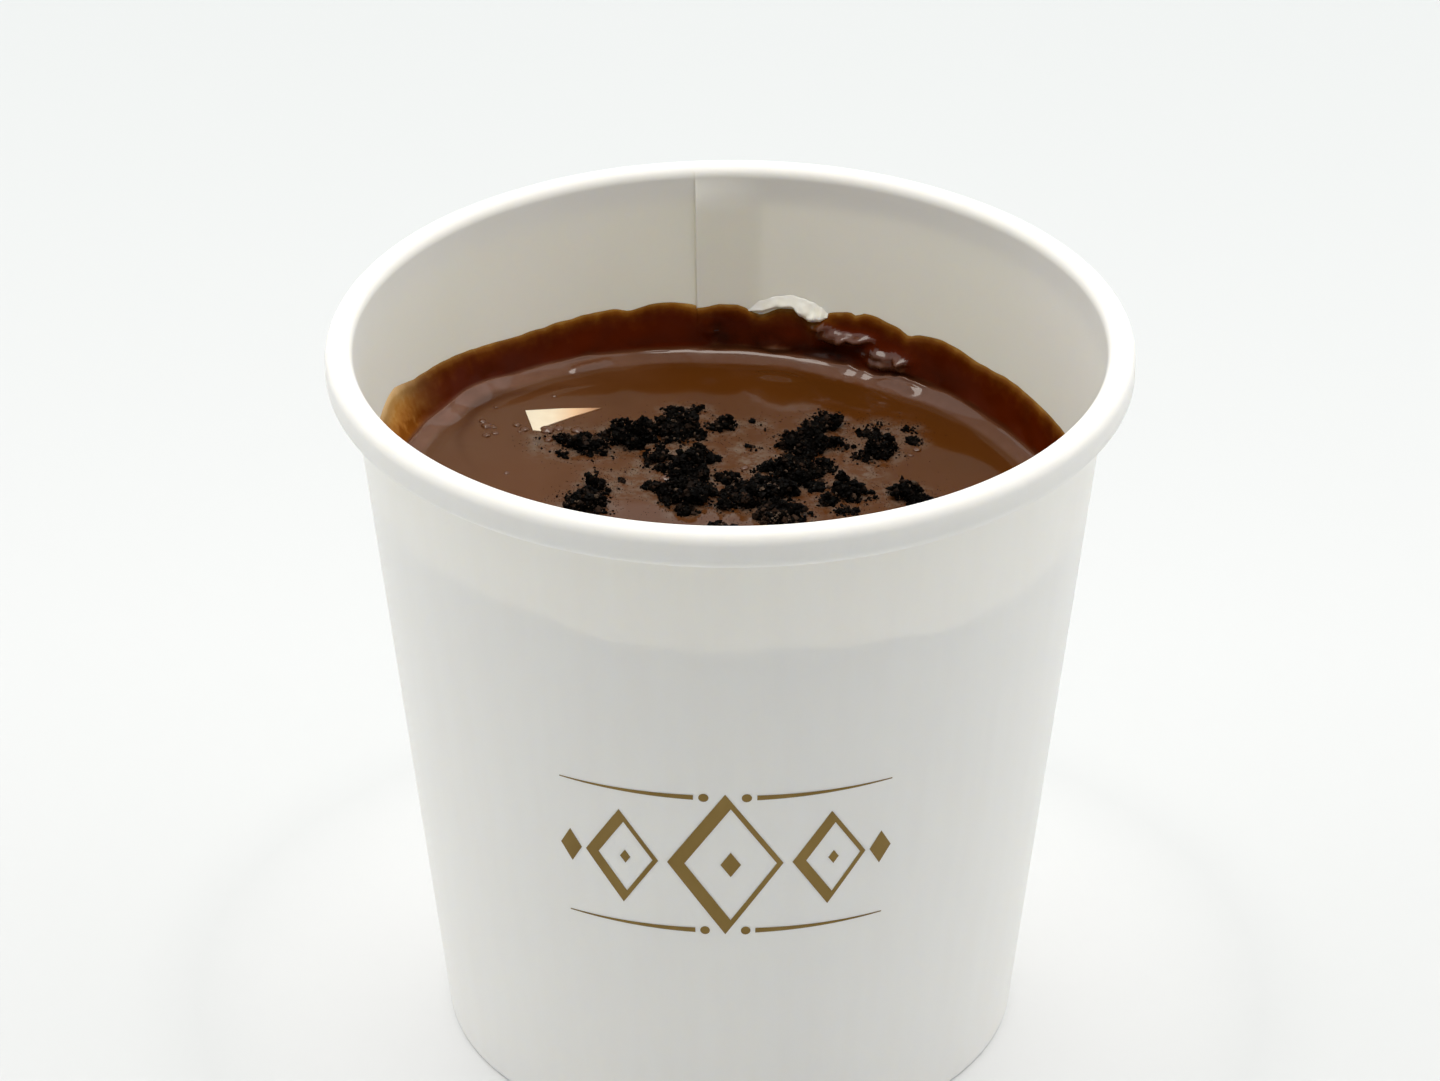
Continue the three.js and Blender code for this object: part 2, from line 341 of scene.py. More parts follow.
pudding = {
    "depth": 21.6,
    "tiltX": 0.06,
    "tiltY": 0.03,
    "meniscusRise": 0.84,
    "meniscusWidth": 3.0,
    "meniscusCurve": 1.75,
    "creaseInset": 2.1,     # from the wall to the crest where the film meets the pudding
    "crest": 0.6,
    "crestLeast": 0.25,
    "swell": 0.03,
    "columns": 480,
}
film = {
    "depth": 16.75,         # from the rim to its top edge
    "tilt": 0.05,
    "thin": 0.32,
    "least": 0.12,
    "thinning": 1.6,        # how quickly it thins upwards
    "uneven": 0.25,
    "edgeRound": 0.9,       # it rounds off this far below its top edge
    "seamShows": 0.7,       # and the seam shows sharply this far
    "wallBite": 0.1,        # how far it reaches into the wall
    "smearAt": -74,         # the see-through smear at the left
    "smearWide": 8,
}
edgeWaves = [
    {"azimuth": -72, "rise": 1.3, "width": 6},
    {"azimuth": -38, "rise": -1.0, "width": 13},
    {"azimuth": -17, "rise": -0.45, "width": 1.8},
    {"azimuth": -11, "rise": 0.25, "width": 2.5},
    {"azimuth": -5.1, "rise": -0.4, "width": 1.6},
    {"azimuth": 5, "rise": -1.05, "width": 2.3},
    {"azimuth": 14, "rise": -1.35, "width": 1.7},
    {"azimuth": 21.6, "rise": -0.4, "width": 0.8},
    {"azimuth": 23.5, "rise": 1.15, "width": 6},
    {"azimuth": 31.4, "rise": -0.5, "width": 1.5},
    {"azimuth": 38, "rise": 0.85, "width": 6},
    {"azimuth": 54, "rise": 0.3, "width": 5},
]
# Lumps and folds in the film on the wall: centre, half width in degrees, half heights above and below
# the centre, and how far they stand out. The hollows under them have a negative out.
filmLumps = [
    {"azimuth": 15.8, "depth": 18.9, "wide": 1.6, "above": 0.6, "below": 0.8, "out": 0.7},
    {"azimuth": 18.9, "depth": 19.7, "wide": 2.8, "above": 0.75, "below": 0.6, "out": 1.25},
    {"azimuth": 23.4, "depth": 19.4, "wide": 2.6, "above": 0.6, "below": 0.45, "out": 0.9},
    {"azimuth": 18.5, "depth": 21.7, "wide": 4.5, "above": 0.7, "below": 0.7, "out": -0.55},
    {"azimuth": 28.2, "depth": 21.0, "wide": 3.4, "above": 0.8, "below": 0.9, "out": 1.45},
    {"azimuth": 31.3, "depth": 20.8, "wide": 1.1, "above": 0.4, "below": 0.4, "out": 0.5},
    {"azimuth": 31.8, "depth": 22.4, "wide": 2.4, "above": 0.4, "below": 0.4, "out": -0.7},
    {"azimuth": 6.5, "depth": 21.2, "wide": 5.0, "above": 1.2, "below": 0.8, "out": 0.25},
    {"azimuth": -3.0, "depth": 19.4, "wide": 1.6, "above": 0.8, "below": 1.6, "out": 0.3},
]
# Places where the film is painted nearly black: painted shade in the hollows under the lumps and folds
# at the back right, and a darker film elsewhere.
filmShades = [
    {"azimuth": 3, "depth": 21.0, "wide": 10, "high": 1.9, "amount": 1.0},
    {"azimuth": -2, "depth": 19.0, "wide": 2.8, "high": 1.3, "amount": 0.7},
    {"azimuth": 18, "depth": 21.9, "wide": 7, "high": 1.3, "amount": 1.2},
    {"azimuth": 24, "depth": 20.6, "wide": 3.5, "high": 0.5, "amount": 0.7},
    {"azimuth": 31.5, "depth": 22.4, "wide": 3.6, "high": 0.9, "amount": 1.2},
    {"azimuth": 38, "depth": 21.3, "wide": 7, "high": 1.7, "amount": 0.6},
    {"azimuth": -22, "depth": 20.8, "wide": 10, "high": 1.0, "amount": 0.4},
    {"azimuth": -45, "depth": 19.5, "wide": 11, "high": 1.9, "amount": 0.45},
]
# Where the pool's edge is pushed in or climbs the wall, and how thick its rolled crest is.
creaseWaves = [
    {"azimuth": 26, "bulge": 0.5, "rise": -0.05, "crest": 0.5, "width": 6},
    {"azimuth": 21, "bulge": 0.1, "rise": 0.12, "crest": 0.5, "width": 3},
    {"azimuth": 33, "bulge": 0.2, "rise": 0.2, "crest": 1.1, "width": 3.5},
    {"azimuth": 41, "bulge": 0.0, "rise": 0.6, "crest": 0.2, "width": 7},
    {"azimuth": -27, "bulge": 0.0, "rise": 0.08, "crest": 0.8, "width": 4},
    {"azimuth": -51, "bulge": 0.0, "rise": 0.7, "crest": 0.2, "width": 7},
    {"azimuth": -61, "bulge": 0.2, "rise": 0.15, "crest": 0.9, "width": 3},
]
# Swellings of the still surface, with their half width in degrees and half length towards the middle,
# and a thin fold in its skin.
swellings = [
    {"azimuth": 9.6, "radius": 33.7, "wide": 4.2, "long": 1.0, "height": 0.33},
    {"azimuth": 50, "radius": 35.0, "wide": 6, "long": 1.6, "height": 0.10},
    {"azimuth": -29.6, "radius": 36.1, "wide": 1.2, "long": 0.5, "height": 0.34},
    {"azimuth": -27.6, "radius": 36.3, "wide": 1.1, "long": 0.45, "height": 0.34},
    {"azimuth": -25.7, "radius": 36.4, "wide": 1.1, "long": 0.45, "height": 0.34},
    {"azimuth": -23.4, "radius": 36.6, "wide": 1.2, "long": 0.4, "height": 0.28},
    {"azimuth": 21.8, "radius": 37.0, "wide": 0.9, "long": 0.45, "height": 0.25},
    {"azimuth": 25.0, "radius": 36.8, "wide": 0.8, "long": 0.4, "height": 0.22},
    {"azimuth": 29.6, "radius": 36.7, "wide": 1.2, "long": 0.45, "height": 0.35},
    {"azimuth": 32.2, "radius": 36.9, "wide": 1.2, "long": 0.5, "height": 0.36},
    {"azimuth": 34.8, "radius": 36.6, "wide": 1.3, "long": 0.5, "height": 0.36},
    {"azimuth": -60, "radius": 36.2, "wide": 2.2, "long": 0.5, "height": 0.15},
]
skinFold = {
    "radius": 33.2,         # furthest out, at the azimuth outermost
    "outermost": -41,
    "bend": 0.0023833,
    "azimuth": -36,
    "wide": 6.5,
    "half": 0.3,
    "height": 0.14,
}


def levelAt(x, y):
    return cup["height"] - pudding["depth"] - pudding["tiltX"] * x - pudding["tiltY"] * y


def surfaceAt(x, y):
    height = levelAt(x, y)
    height += pudding["swell"] * ripple(x, y, 0, 11) + 0.3 * pudding["swell"] * ripple(x, y, 9, 4)
    azimuth = math.degrees(math.atan2(x, y))
    radius = math.hypot(x, y)
    for s in swellings:
        if abs(radius - s["radius"]) < 3 * s["long"]:
            near = turnBell(azimuth, s["azimuth"], s["wide"])
            height += s["height"] * near * bell(radius, s["radius"], s["long"])
    line = skinFold["radius"] - skinFold["bend"] * (azimuth - skinFold["outermost"]) ** 2
    along = turnBell(azimuth, skinFold["azimuth"], skinFold["wide"])
    return height + skinFold["height"] * along * bell(radius, line, skinFold["half"])


# Height of the film's top edge.
def filmTop(azimuth):
    turn = math.radians(azimuth)
    x = wallInner(cup["height"] - film["depth"]) * math.sin(turn)
    front = smooth(75, 100, turnBetween(azimuth, 0))
    wander = front * (0.4 * math.sin(7 * turn) + 0.25 * math.sin(19 * turn + 1))
    wander += 0.12 * aroundRipple(azimuth, 25, 5)
    waves = sum(w["rise"] * turnBell(azimuth, w["azimuth"], w["width"]) for w in edgeWaves)
    return cup["height"] - film["depth"] - film["tilt"] * x + wander + waves


def wallSide(azimuth, z):
    return wallInner(z) - lapIn(azimuth)


# How strongly the lumps show at a place on the film.
def lumpAt(azimuth, depth):
    total = 0.0
    for lump in filmLumps:
        half = lump["above"] if depth < lump["depth"] else lump["below"]
        near = turnBell(azimuth, lump["azimuth"], lump["wide"])
        total += lump["out"] * near * bell(depth, lump["depth"], half)
    return total * (1 + 0.9 * ripple(0.66 * azimuth, depth, 3, 0.9))


# Rings from the middle of the top out to the pool's edge, over its crest, up the film and back down
# the wall.
flatSteps = 84
meniscusSteps = 14
crestPoints = [(0.08, 0.10), (0.18, 0.17), (0.29, 0.18), (0.38, 0.12), (0.43, 0.02)]
filmSteps = 38
backDepths = [3, 12, 30]


# Radius of the pool's edge, how high it stands over the still surface, and how thick its crest is.
def creaseAt(azimuth):
    waves = {key: sum(w[key] * turnBell(azimuth, w["azimuth"], w["width"]) for w in creaseWaves)
             for key in ("bulge", "rise", "crest")}
    bulge = waves["bulge"] + 0.2 * aroundRipple(azimuth, 9, 2)
    rise = pudding["meniscusRise"] + waves["rise"]
    rise += 0.15 * aroundRipple(azimuth, 7, 7)
    crest = pudding["crest"] + waves["crest"] + pudding["crest"] * aroundRipple(azimuth, 16, 4)
    radius = wallInner(cup["height"] - pudding["depth"]) - pudding["creaseInset"] - bulge
    return radius, rise, max(pudding["crestLeast"], crest)


# How far inside the pool's edge a place is; negative on the film.
def insideEdge(place):
    return creaseAt(azimuthAt(place))[0] - math.hypot(place.x, place.y)


# Each ring point is (radius, height).
def puddingRings(azimuth):
    radius, rise, crest = creaseAt(azimuth)
    width = pudding["meniscusWidth"]
    turn = math.radians(azimuth)

    def level(r):
        return surfaceAt(r * math.sin(turn), r * math.cos(turn))

    rings = []
    for i in range(flatSteps):
        r = (radius - width) * (i / flatSteps) ** 0.9
        rings.append((r, level(r)))
    for i in range(meniscusSteps + 1):
        share = i / meniscusSteps
        r = radius - width * (1 - share)
        rings.append((r, level(r) + rise * share ** pudding["meniscusCurve"]))
    creaseZ = rings[-1][1]
    rings += [(radius + out, creaseZ + crest * up) for out, up in crestPoints]
    radius, creaseZ = rings[-1]
    top = filmTop(azimuth)
    foot = wallInner(creaseZ) - lapBuried(azimuth) - radius
    for i in range(filmSteps + 1):
        share = (i / filmSteps) ** 0.9
        z = mix(creaseZ, top, share)
        body = film["thin"] + (foot - film["thin"]) * (1 - share) ** film["thinning"]
        grow = smooth(0, 0.15, share)
        body += grow * lumpAt(azimuth, cup["height"] - z)
        body *= 1 + film["uneven"] * grow * aroundRipple(azimuth, 14, z / 2.5)
        edge = 1 - (1 - min(1.0, (top - z) / film["edgeRound"])) ** 2
        thickness = max(film["least"], body) * edge - film["wallBite"] * (1 - edge)
        sharp = math.exp(-(top - z) / film["seamShows"])
        lap = mix(lapBuried(azimuth), lapIn(azimuth), sharp)
        rings.append((wallInner(z) - lap - thickness, z))
    floor = cup["baseRecess"] + cup["paper"]
    for drop in backDepths:
        z = top - drop
        rings.append((wallSide(azimuth, z) + film["wallBite"], z))
    rings.append((wallInner(floor) - cup["gap"], floor))
    rings.append((0, floor))
    return rings


# Painted highlight: the pool's edge is painted lighter where its slope reflects the bright ceiling, most
# of all on the left, with a painted darker trough inside it there, where the dark film is reflected.
ringHighlightPaint = {"amount": 0.30, "width": 1.65, "soft": 0.4, "fromTrough": 0.6}
ringHighlightPaintLeft = {"azimuth": -58, "wide": 26, "amount": 0.55, "narrower": 0.3}
ringHighlightPaintRight = {"azimuth": 27, "wide": 16, "amount": 0.15}
troughReflectionPaint = {"azimuth": -53, "wide": 17, "inset": 1.65, "nearest": -51, "bend": 0.008, "half": 0.7}


def troughMiddle(azimuth):
    return troughReflectionPaint["inset"] + troughReflectionPaint["bend"] * (azimuth - troughReflectionPaint["nearest"]) ** 2


def paintedRingHighlight(azimuth, away):
    left = turnBell(azimuth, ringHighlightPaintLeft["azimuth"], ringHighlightPaintLeft["wide"])
    right = turnBell(azimuth, ringHighlightPaintRight["azimuth"], ringHighlightPaintRight["wide"])
    amount = ringHighlightPaint["amount"] + ringHighlightPaintLeft["amount"] * left + ringHighlightPaintRight["amount"] * right
    width = min(ringHighlightPaint["width"] - ringHighlightPaintLeft["narrower"] * left,
                troughMiddle(azimuth) - ringHighlightPaint["fromTrough"])
    return amount * smooth(width + ringHighlightPaint["soft"], width - ringHighlightPaint["soft"], away)


def paintedTroughReflection(azimuth, away):
    near = turnBell(azimuth, troughReflectionPaint["azimuth"], troughReflectionPaint["wide"])
    return near * bell(away, troughMiddle(azimuth) + 0.2, troughReflectionPaint["half"])


# Which finish each face has: still inside this distance from the pool's edge, wet out to the film
# and on its lumps, and film beyond.
finishEdges = {"still": 1.8, "wet": -0.45, "lump": 0.3}


def makePudding(materials):
    rings = {}

    def ringsAt(azimuth):
        key = round(azimuth, 4)
        if key not in rings:
            rings[key] = puddingRings(azimuth)
        return rings[key]

    rows = len(ringsAt(0.0))
    bm = turnedShell(rows, pudding["columns"], lambda row, azimuth: ringsAt(azimuth)[row], False,
                     seamSpread)
    layers = {name: bm.verts.layers.float.new(name) for name in puddingLayers}
    beside = heapDepth([vert.co for vert in bm.verts]) + dustBed["reach"]
    dust = np.clip(beside / dustBed["fade"], 0, 1)
    for vert, dusty in zip(bm.verts, dust):
        azimuth = azimuthAt(vert.co)
        away = insideEdge(vert.co)
        depth = cup["height"] - vert.co.z
        vert[layers["film"]] = filmTop(azimuth) - vert.co.z
        vert[layers["thin"]] = turnBell(azimuth, film["smearAt"], film["smearWide"])
        # On thick lumps the film takes the still pudding's colour and some of the painted highlight of
        # the pool's edge.
        thick = smooth(0.15, 0.9, lumpAt(azimuth, depth)) if away < finishEdges["wet"] else 0.0
        vert[layers["pool"]] = max(smooth(-0.7, -0.35, away), 0.6 * thick)
        vert[layers["ring"]] = max(paintedRingHighlight(azimuth, away), 0.35 * thick)
        vert[layers["trough"]] = paintedTroughReflection(azimuth, away)
        # Painted shade, mostly in the hollows under the film's lumps.
        vert[layers["shade"]] = sum(s["amount"] * turnBell(azimuth, s["azimuth"], s["wide"])
                                    * bell(depth, s["depth"], s["high"]) for s in filmShades)
        vert[layers["dust"]] = min(1.0, dusty + dustBed["veil"] * veilAt(vert.co.x, vert.co.y))
    for face in bm.faces:
        centre = face.calc_center_median()
        away = insideEdge(centre)
        lump = lumpAt(azimuthAt(centre), cup["height"] - centre.z)
        if away > finishEdges["still"]:
            face.material_index = 0
        elif away > finishEdges["wet"] or lump > finishEdges["lump"]:
            face.material_index = 1
        else:
            face.material_index = 2
    finishPiece(bm, "puddingBody", materials, ["pudding"], 70)


# Heaps of crumbs: middle, width and height in millimetres.
crumbHeaps = np.array([
    (1.8, 1.9, 6.3, 2.2), (-5.0, 1.1, 6.3, 2.2), (7.4, 8.3, 6.3, 2.2), (-4.6, 7.1, 6.3, 2.2),
    (8.6, 15.9, 6.3, 2.0), (-11.4, 15.5, 6.3, 2.2), (5.8, -1.7, 6.3, 2.0), (-6.2, 17.5, 6.3, 2.2),
    (-16.2, -1.5, 5.3, 1.9), (-15.8, 12.5, 5.3, 1.7), (11.0, 21.1, 4.5, 1.9), (13.4, 4.7, 4.5, 1.7),
    (19.8, 4.7, 4.5, 1.7), (17.0, 15.5, 4.5, 1.7), (16.6, 19.6, 3.7, 1.4), (-8.2, 10.4, 3.7, 1.4),
    (-1.0, 19.6, 3.7, 1.2), (5.0, 4.3, 6.3, 2.0), (-15.4, 2.6, 3.1, 1.5), (-3.8, 11.1, 4.5, 1.7),
    (-1.0, -0.2, 3.1, 1.3), (9.8, 5.8, 3.1, 1.3), (-0.2, 6.2, 3.1, 1.3), (-6.2, 22.3, 2.5, 1.1),
    (13.0, 0.3, 2.5, 1.1), (7.4, 12.6, 3.1, 1.3), (15.4, 13.4, 3.1, 1.3), (-8.6, 3.1, 2.5, 1.1),
    (12.2, 16.6, 3.1, 1.3), (10.6, 2.3, 2.5, 1.1), (-2.2, 4.8, 2.0, 0.9), (10.6, 10.2, 3.1, 1.3),
    (-5.4, -1.7, 2.5, 1.1), (-19.0, 13.9, 2.5, 1.1), (-8.2, 13.3, 1.6, 0.8), (-3.8, 23.3, 1.6, 0.6),
    (12.6, 7.6, 2.0, 0.9), (-13.8, 1.7, 1.6, 0.8), (4.2, 9.0, 3.1, 1.3), (-1.8, 2.4, 2.0, 0.9),
    (-7.8, 8.1, 1.6, 0.8), (-12.6, 13.3, 1.6, 0.8), (17.4, 22.1, 1.6, 0.8), (-8.6, 14.5, 1.6, 0.8),
    (-4.6, 15.6, 2.0, 0.9), (11.0, 18.9, 1.6, 0.8), (20.5, 21.4, 1.5, 0.7), (20.9, 18.6, 1.3, 0.5),
    (-21.4, 13.6, 1.7, 0.7), (-18.6, 10.4, 1.2, 0.4), (-9.6, 8.5, 1.0, 0.4), (1.9, 14.6, 1.1, 0.5),
    (-15.2, 6.2, 1.0, 0.4), (-12.6, 5.0, 1.1, 0.3), (22.4, 3.6, 1.6, 0.7), (3.2, 20.6, 1.2, 0.2),
    (-1.0, -7.0, 4.4, 1.0), (8.0, -6.6, 3.6, 1.0), (-7.6, -8.6, 4.8, 1.4), (-13.6, -8.2, 3.0, 1.2),
    (-2.6, -11.0, 4.4, 1.8), (4.4, -11.2, 4.6, 2.0), (13.0, -8.6, 3.6, 1.6), (-9.4, -14.6, 2.4, 1.0),
    (1.2, -16.4, 3.2, 1.2), (10.4, -14.6, 2.4, 1.0),
])
heapShape = {
    "even": 0.8,
    "uneven": 0.9,
    "round": 0.45,
    "twoLayers": 0.9,       # lower places have a single layer of chunks
    "sit": 0.25,            # height of a crumb's middle over the pudding, as a share of its radius
    "under": 0.55,          # and below the top of the heap
}
# Each kind is strewn on a jittered grid of the given step; edge says how far inside a heap it must
# be, and fade how far beyond that it still turns up.
crumbKinds = {
    "crumbChunks": {"step": 0.64, "layers": 2, "small": 0.30, "large": 0.78, "edge": 0.6, "fade": 0.35,
                    "rough": 0.7, "cuts": 1, "shapes": 24, "seed": 11, "tone": (0.0, 0.85)},
    "crumbBits": {"step": 0.48, "layers": 1, "small": 0.15, "large": 0.42, "edge": 0.35, "fade": 0.7,
                  "rough": 0.6, "cuts": 1, "shapes": 24, "seed": 12, "tone": (0.0, 1.0)},
    "crumbDust": {"step": 0.36, "layers": 1, "small": 0.06, "large": 0.17, "edge": 0.0, "fade": 2.2,
                  "rough": 0.3, "cuts": 0, "shapes": 12, "seed": 13, "tone": (0.35, 1.0)},
}
crumbReach = {"left": -25, "right": 26, "front": -20, "back": 26}
frontBrown = 0.16           # crumbs near the front are a little browner


# Dust lies round the heaps, with thin grey veils of it here and there.
dustBed = {"reach": 2.0, "fade": 2.4, "veil": 1.1}
dustVeils = [
    {"x": -18.8, "y": 15.4, "wide": 2.6}, {"x": -20.8, "y": 11.4, "wide": 2.0},
    {"x": -11.6, "y": 3.2, "wide": 2.2}, {"x": -9.4, "y": 6.6, "wide": 2.4},
    {"x": -5.6, "y": 14.4, "wide": 2.2}, {"x": 2.2, "y": 12.4, "wide": 2.6},
    {"x": 15.8, "y": 9.6, "wide": 1.8},
]


def veilAt(x, y):
    return sum(bell(x, v["x"], v["wide"]) * bell(y, v["y"], v["wide"]) for v in dustVeils)


# How deep inside the nearest heap a place is; negative outside.
def heapDepth(places):
    x, y = np.array([place[0] for place in places]), np.array([place[1] for place in places])
    depths = [0.5 * wide - np.hypot(x - heapX, y - heapY) for heapX, heapY, wide in crumbHeaps[:, :3]]
    return np.max(depths, axis=0)


# Height of the crumbs over the pudding.
def heapHeight(x, y):
    away = np.hypot(x - crumbHeaps[:, 0], y - crumbHeaps[:, 1]) / (0.5 * crumbHeaps[:, 2])
    uneven = heapShape["even"] + heapShape["uneven"] * ripple(x, y, 12, 1.6)
    return uneven * float(np.max(crumbHeaps[:, 3] * np.clip(1 - away ** 2, 0, 1) ** heapShape["round"]))


# A rough lump of unit size, as arrays of points and triangles.
def crumbShape(kind, number):
    bm = bmesh.new()
    bmesh.ops.create_cube(bm, size=1)
    if kind["cuts"]:
        bmesh.ops.subdivide_edges(bm, edges=bm.edges, cuts=kind["cuts"], use_grid_fill=True)
    shift = Vector((7.3 * number, 3.1 * number, kind["seed"]))
    for vert in bm.verts:
        place = vert.co.normalized()
        knob = noise.voronoi(place * 1.5 + shift)[0][0]
        uneven = 0.8 * noise.noise(place * 1.1 + shift) + 0.9 * noise.noise(place * 3.1 + shift)
        vert.co = place * (1.2 + kind["rough"] * (uneven - 0.9 * knob))
    bmesh.ops.triangulate(bm, faces=bm.faces)
    points = np.array([vert.co[:] for vert in bm.verts])
    corners = np.array([[vert.index for vert in face.verts] for face in bm.faces])
    bm.free()
    return points, corners


def randomTurn(draw):
    a, b, c = (draw.uniform(0, 2 * math.pi) for _ in range(3))
    ca, sa, cb, sb, cc, sc = math.cos(a), math.sin(a), math.cos(b), math.sin(b), math.cos(c), math.sin(c)
    return np.array([
        [ca * cb, ca * sb * sc - sa * cc, ca * sb * cc + sa * sc],
        [sa * cb, sa * sb * sc + ca * cc, sa * sb * cc - ca * sc],
        [-sb, cb * sc, cb * cc],
    ])


# Where the crumbs of a kind lie, as (x, y, depth inside the heap, layer).
def crumbPlaces(kind, draw):
    places = []
    for layer in range(kind["layers"]):
        y = crumbReach["front"]
        while y < crumbReach["back"]:
            x = crumbReach["left"]
            while x < crumbReach["right"]:
                places.append((x + draw.uniform(-0.5, 0.5) * kind["step"],
                               y + draw.uniform(-0.5, 0.5) * kind["step"], layer))
                x += kind["step"]
            y += kind["step"]
    kept = []
    for (x, y, layer), depth in zip(places, heapDepth(places)):
        depth += 1.5 * ripple(x, y, 3, 1.7) + 1.0 * ripple(x, y, 5, 0.8)
        short = kind["edge"] - depth
        chance = 1.0 if short < 0 else math.exp(-2.2 * short / kind["fade"])
        if draw.random() < chance:
            kept.append((x, y, depth, layer))
    return kept


def makeCrumbs(name, kind, material):
    draw = random.Random(kind["seed"])
    shapes = [crumbShape(kind, number) for number in range(kind["shapes"])]
    points, corners, tones = [], [], []
    start = 0
    for x, y, depth, layer in crumbPlaces(kind, draw):
        pile = heapHeight(x, y)
        if layer == 1 and pile < heapShape["twoLayers"]:
            continue
        big = smooth(-0.3, 1.8, depth) * draw.uniform(0.2, 1) ** 0.8
        radius = mix(kind["small"], kind["large"], big)
        low = heapShape["sit"] * radius
        high = max(low, pile - heapShape["under"] * radius)
        lift = mix(0.55, 1.0, draw.random()) if layer else mix(0.0, 0.55, draw.random())
        if kind["layers"] == 1:
            lift = math.sqrt(draw.random())
        z = surfaceAt(x, y) + mix(low, high, lift)
        shapePoints, shapeCorners = shapes[draw.randrange(kind["shapes"])]
        squash = np.array([1, 1, draw.uniform(0.65, 0.95)])
        narrow = np.array([1, draw.uniform(0.65, 1), 1])
        placed = (shapePoints * radius * narrow) @ randomTurn(draw).T * squash
        points.append(placed + np.array([x, y, z]))
        corners.append(shapeCorners + start)
        brown = frontBrown * smooth(0, -4, y)
        tones.append(np.full(len(placed), brown + mix(*kind["tone"], draw.random())))
        start += len(placed)
    mesh = bpy.data.meshes.new(name)
    mesh.from_pydata(np.concatenate(points) * mm, [], np.concatenate(corners))
    tone = mesh.attributes.new("tone", "FLOAT", "POINT")
    tone.data.foreach_set("value", np.concatenate(tones))
    mesh.shade_flat()
    placePiece(mesh, name, [material])


# A pale sheet that sits on the edge of the film, painted light for a bright patch of light on the wall
# there: upper and lower edge by azimuth, and thickness.
lightPatchPath = [
    {"azimuth": 3.0, "upper": 17.5, "lower": 17.7, "thick": 0.1},
    {"azimuth": 5.1, "upper": 16.4, "lower": 17.8, "thick": 0.4},
    {"azimuth": 7.9, "upper": 15.75, "lower": 17.2, "thick": 0.6},
    {"azimuth": 10.3, "upper": 15.5, "lower": 17.0, "thick": 0.7},
    {"azimuth": 12.0, "upper": 15.75, "lower": 17.9, "thick": 0.95},
    {"azimuth": 13.9, "upper": 16.1, "lower": 18.5, "thick": 1.1},
    {"azimuth": 15.4, "upper": 16.6, "lower": 18.3, "thick": 0.9},
    {"azimuth": 16.4, "upper": 17.2, "lower": 17.9, "thick": 0.4},
    {"azimuth": 17.0, "upper": 17.5, "lower": 17.7, "thick": 0.1},
]
lightPatch = {"along": 90, "across": 18, "lift": 0.02, "wallBite": 0.1, "crown": 0.3}


def pathAt(share):
    place = share * (len(lightPatchPath) - 1)
    i = min(int(place), len(lightPatchPath) - 2)
    blend = smooth(0, 1, place - i)
    a, b = lightPatchPath[i], lightPatchPath[i + 1]
    azimuth = mix(a["azimuth"], b["azimuth"], place - i)
    return azimuth, *(mix(a[key], b[key], blend) for key in ("upper", "lower", "thick"))


# A grid bent along the wall, thickest a little above its lower edge.
def makeLightPatch(material):
    bm = bmesh.new()
    bmesh.ops.create_grid(bm, x_segments=lightPatch["along"], y_segments=lightPatch["across"], size=1)
    made = bmesh.ops.extrude_face_region(bm, geom=bm.faces[:], use_keep_orig=True)
    raised = {item for item in made["geom"] if isinstance(item, bmesh.types.BMVert)}
    for vert in bm.verts:
        u, v, _ = vert.co
        azimuth, upper, lower, thick = pathAt((u + 1) / 2)
        share = (v + 1) / 2
        z = cup["height"] - mix(lower, upper, share)
        dome = min(1.0, share / lightPatch["crown"]) ** 0.5 * (1 - share) ** 0.9 * 1.35
        dome *= 1 + 0.3 * ripple(azimuth, z * 2, 1, 1.3)
        out = thick * dome + lightPatch["lift"] if vert in raised else -lightPatch["wallBite"]
        vert.co = onCircle(wallSide(azimuth, z) - out, azimuth, z)
    bmesh.ops.recalc_face_normals(bm, faces=bm.faces)
    finishPiece(bm, "paintedLightPatch", [material], sharpAngle=80)


# Outline of a thin pale sheet on the surface, seen from above: a painted reflection, standing in for a
# bright reflection in the glossy pudding.
reflectionPatchOutline = [
    (-23.5, 20.9), (-22.5, 16.0), (-21.5, 15.9), (-20.9, 17.4), (-19.6, 18.6), (-17.8, 20.2),
    (-16.2, 21.5), (-14.8, 22.6), (-19.3, 21.9),
]
reflectionPatch = {"thick": 0.16, "stands": 0.09, "cuts": 12}


def makeReflectionPatch(material):
    bm = bmesh.new()
    face = bm.faces.new([bm.verts.new((x, y, 0)) for x, y in reflectionPatchOutline])
    left = min(x for x, y in reflectionPatchOutline)
    right = max(x for x, y in reflectionPatchOutline)
    for i in range(1, reflectionPatch["cuts"]):
        geom = bm.verts[:] + bm.edges[:] + bm.faces[:]
        bmesh.ops.bisect_plane(bm, geom=geom, plane_co=(mix(left, right, i / reflectionPatch["cuts"]), 0, 0),
                               plane_no=(1, 0, 0))
    fade = bm.verts.layers.float.new("fade")
    made = bmesh.ops.extrude_face_region(bm, geom=bm.faces[:], use_keep_orig=True)
    raised = {item for item in made["geom"] if isinstance(item, bmesh.types.BMVert)}
    for vert in bm.verts:
        x, y, _ = vert.co
        stand = reflectionPatch["stands"] if vert in raised else reflectionPatch["stands"] - reflectionPatch["thick"]
        vert.co.z = surfaceAt(x, y) + stand
        vert[fade] = (x - left) / (right - left)
    bmesh.ops.recalc_face_normals(bm, faces=bm.faces)
    finishPiece(bm, "paintedReflectionPatch", [material])


